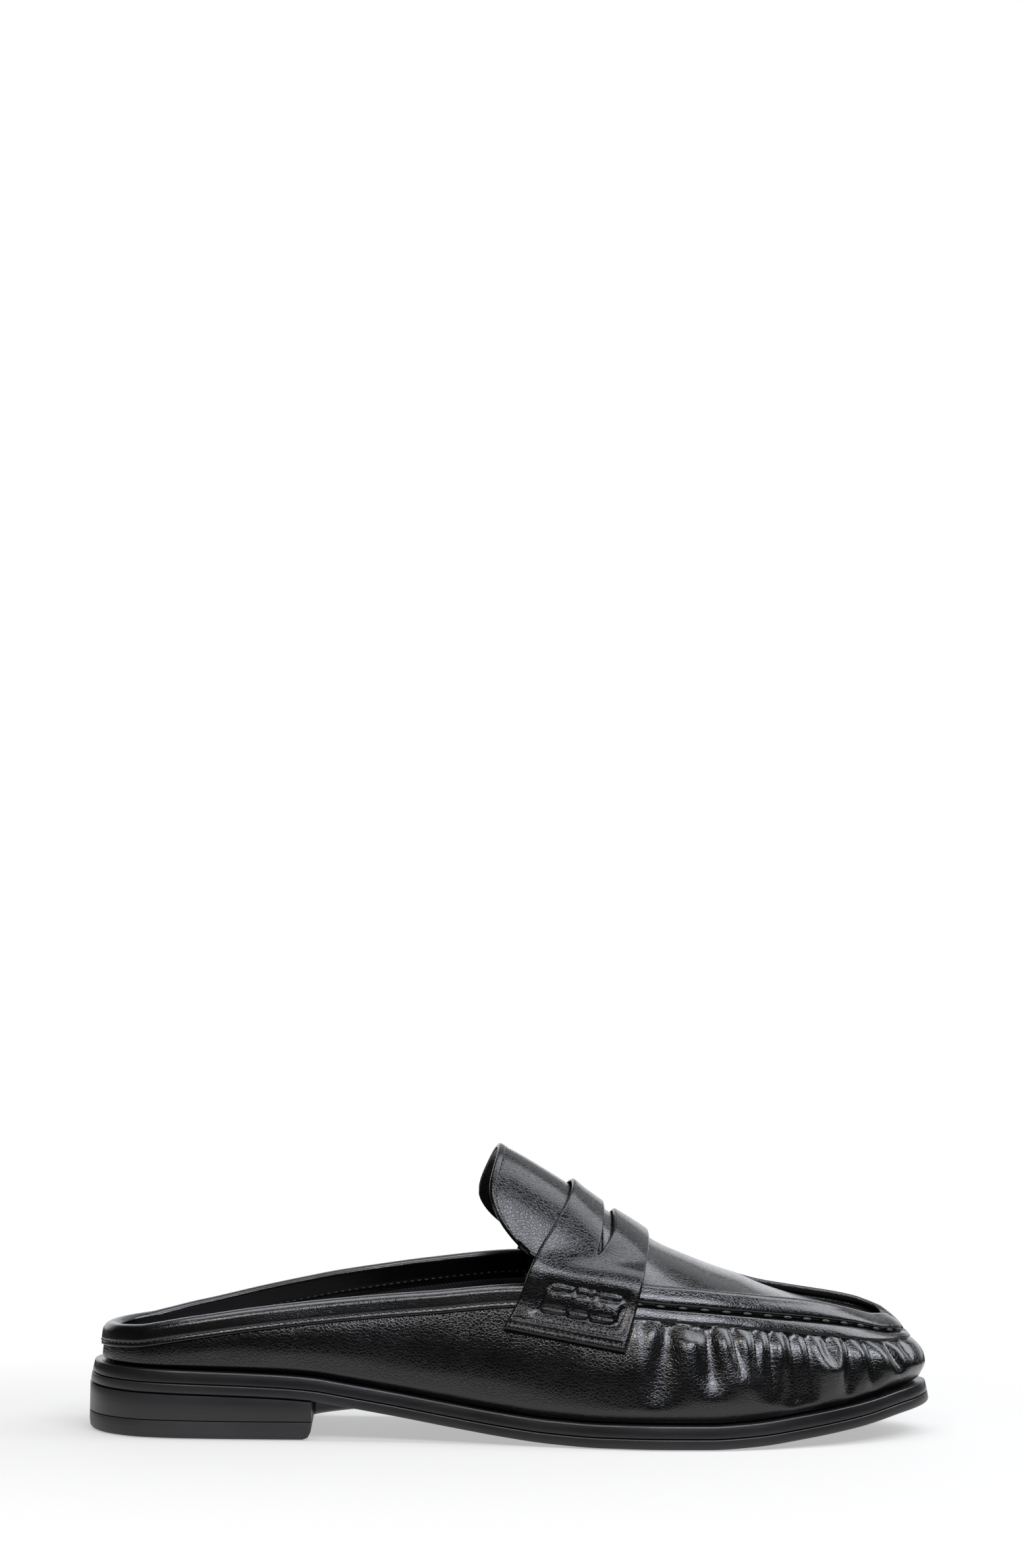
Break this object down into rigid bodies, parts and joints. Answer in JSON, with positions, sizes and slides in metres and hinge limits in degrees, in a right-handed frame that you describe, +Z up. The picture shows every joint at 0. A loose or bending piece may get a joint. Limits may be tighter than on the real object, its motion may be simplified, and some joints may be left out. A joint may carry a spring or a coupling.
{
  "type": "loafer mule",
  "caption": "Right-foot flat backless loafer with low block heel, gathered toe, raised seam round the apron and a slotted saddle strap, worn by slipping the foot in from behind",
  "frame": {"origin": "Centre of the bounding box at floor level, under the shoe standing empty on its heel and forefoot", "axes": "+X from heel to toe, +Y toward the wearer's left, the inner side of this right shoe, +Z up"},
  "size_m": [0.2678, 0.09, 0.0902],
  "materials": {
    "upper": "glossy fine-grained black",
    "strap": "glossy fine-grained black",
    "tongue": "glossy fine-grained black",
    "collar_binding": "satin black",
    "insole": "matt black",
    "welt": "satin black",
    "outsole": "satin black",
    "shank_wedge": "satin black",
    "heel_block": "satin black",
    "top_lift": "matt black"
  },
  "bodies": {
    "root": {"upper": "upper", "strap": "strap", "tongue": "tongue", "collar_binding": "collar_binding", "insole": "insole", "welt": "welt", "outsole": "outsole", "shank_wedge": "shank_wedge", "heel_block": "heel_block", "top_lift": "top_lift"}
  },
  "joints": []
}
